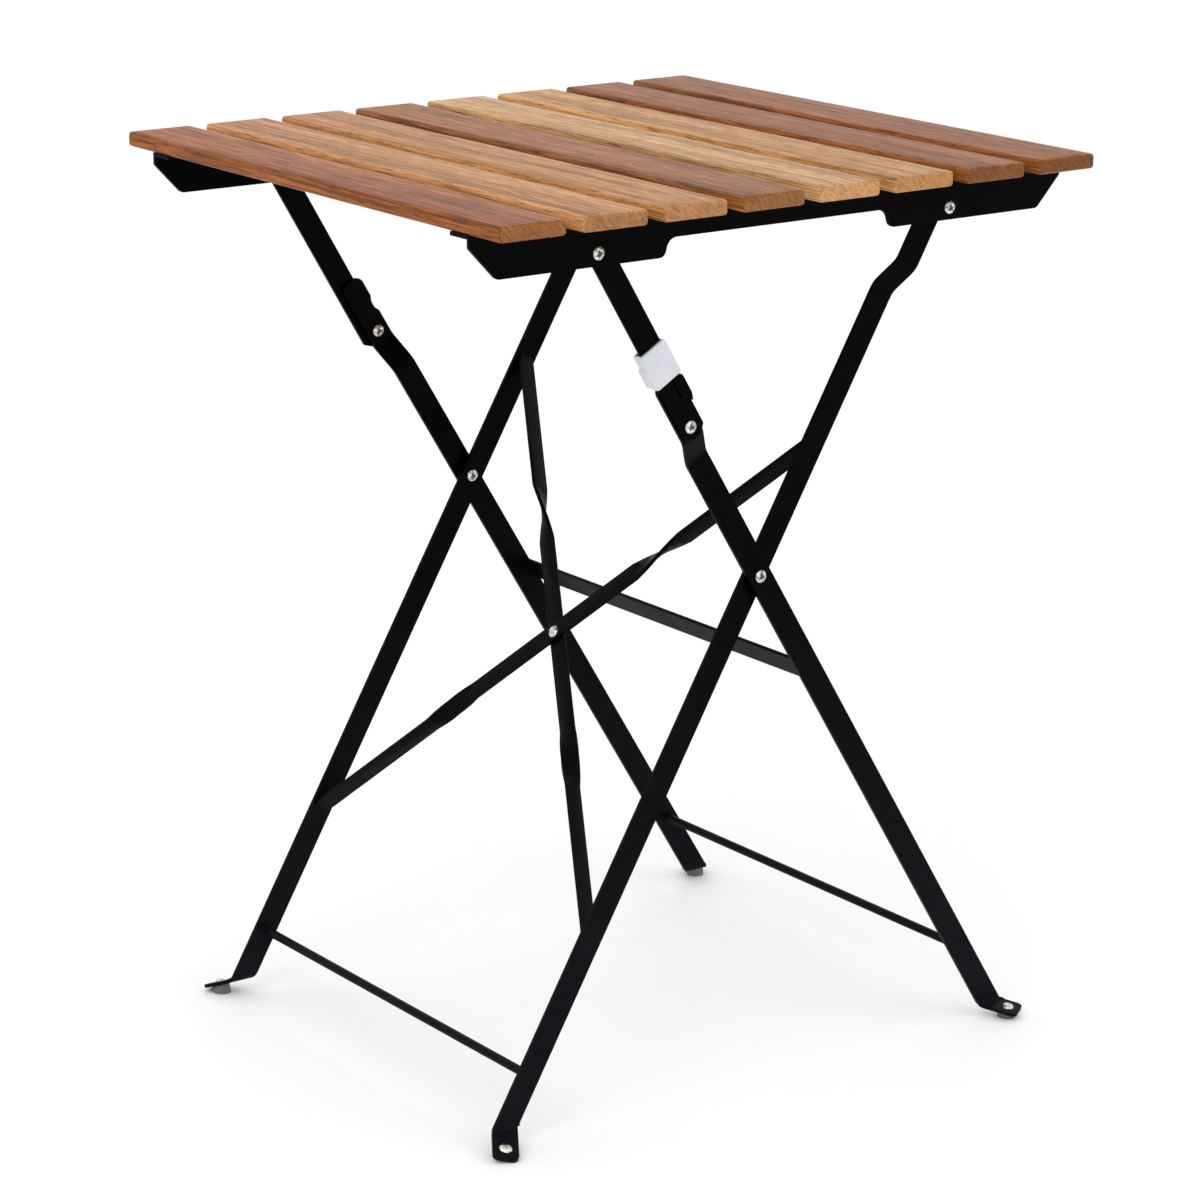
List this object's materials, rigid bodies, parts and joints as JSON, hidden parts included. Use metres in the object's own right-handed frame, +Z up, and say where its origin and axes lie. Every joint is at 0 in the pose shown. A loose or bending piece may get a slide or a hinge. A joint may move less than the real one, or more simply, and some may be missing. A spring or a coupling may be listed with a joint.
{
  "type": "folding table",
  "caption": "Small square slatted folding table: hardwood slats on two steel angle rails over a crossed flat-steel folding frame with knee links and a sliding lock sleeve.",
  "frame": {"origin": "on the floor under the centre of the top", "axes": "+X along the slats, +Y along the rails, +Z up"},
  "size_m": [0.52, 0.544, 0.71],
  "materials": {
    "oiled_hardwood": "oiled",
    "black_steel": "satin powder coat",
    "zinc_fastener": "zinc plated",
    "sleeve_plastic": "moulded",
    "glide_plastic": "moulded"
  },
  "bodies": {
    "top": {"leg_bush_far": "black_steel", "leg_bush_near": "black_steel", "leg_rivet_far": "zinc_fastener", "leg_rivet_near": "zinc_fastener", "link_rivet_far": "zinc_fastener", "link_rivet_near": "zinc_fastener", "link_washer_far": "black_steel", "link_washer_near": "black_steel", "rail_far": "black_steel", "rail_near": "black_steel", "slat_1": "oiled_hardwood", "slat_2": "oiled_hardwood", "slat_3": "oiled_hardwood", "slat_4": "oiled_hardwood", "slat_5": "oiled_hardwood", "slat_6": "oiled_hardwood", "slat_7": "oiled_hardwood", "slat_8": "oiled_hardwood", "slat_screws_far": "zinc_fastener", "slat_screws_near": "zinc_fastener"},
    "links": {"knee_rivet_far": "zinc_fastener", "knee_rivet_near": "zinc_fastener", "upper_link_far": "black_steel", "upper_link_near": "black_steel"},
    "sleeve": {"lock_sleeve": "sleeve_plastic"},
    "inner_frame": {"brace_falling": "black_steel", "brace_rising": "black_steel", "brace_rivet": "zinc_fastener", "inner_foot_rivet_far": "zinc_fastener", "inner_foot_rivet_near": "zinc_fastener", "inner_glide_far": "glide_plastic", "inner_glide_near": "glide_plastic", "inner_leg_far": "black_steel", "inner_leg_near": "black_steel", "inner_rod": "black_steel", "scissor_rivet_end_far": "zinc_fastener", "scissor_rivet_end_near": "zinc_fastener", "scissor_washer_far": "black_steel", "scissor_washer_near": "black_steel"},
    "outer_frame": {"outer_crossbar": "black_steel", "outer_foot_rivet_far": "zinc_fastener", "outer_foot_rivet_near": "zinc_fastener", "outer_glide_far": "glide_plastic", "outer_glide_near": "glide_plastic", "outer_leg_far": "black_steel", "outer_leg_near": "black_steel", "outer_rod": "black_steel", "scissor_rivet_far": "zinc_fastener", "scissor_rivet_near": "zinc_fastener"}
  },
  "joints": [
    {"name": "inner_leg_fold", "type": "hinge", "parent": "top", "child": "inner_frame", "pos_m": [0, 0.162, 0.6744], "axis": [-1, 0, 0], "range_deg": [0, 53.9]},
    {"name": "link_fold", "type": "hinge", "parent": "top", "child": "links", "pos_m": [0, -0.162, 0.6744], "axis": [1, 0, 0], "range_deg": [0, 55.09]},
    {"name": "knee_fold", "type": "hinge", "parent": "links", "child": "outer_frame", "pos_m": [0, -0.07549, 0.5359], "axis": [-1, 0, 0], "range_deg": [0, 167.98]},
    {"name": "sleeve_slide", "type": "slide", "parent": "links", "child": "sleeve", "axis": [0, 0.513, -0.8584], "range_m": [-0.03, 0]}
  ],
  "couplings": [
    {"joint": "link_fold", "follows": "inner_leg_fold", "ratio": 1.022},
    {"joint": "knee_fold", "follows": "inner_leg_fold", "ratio": 3.1164}
  ]
}
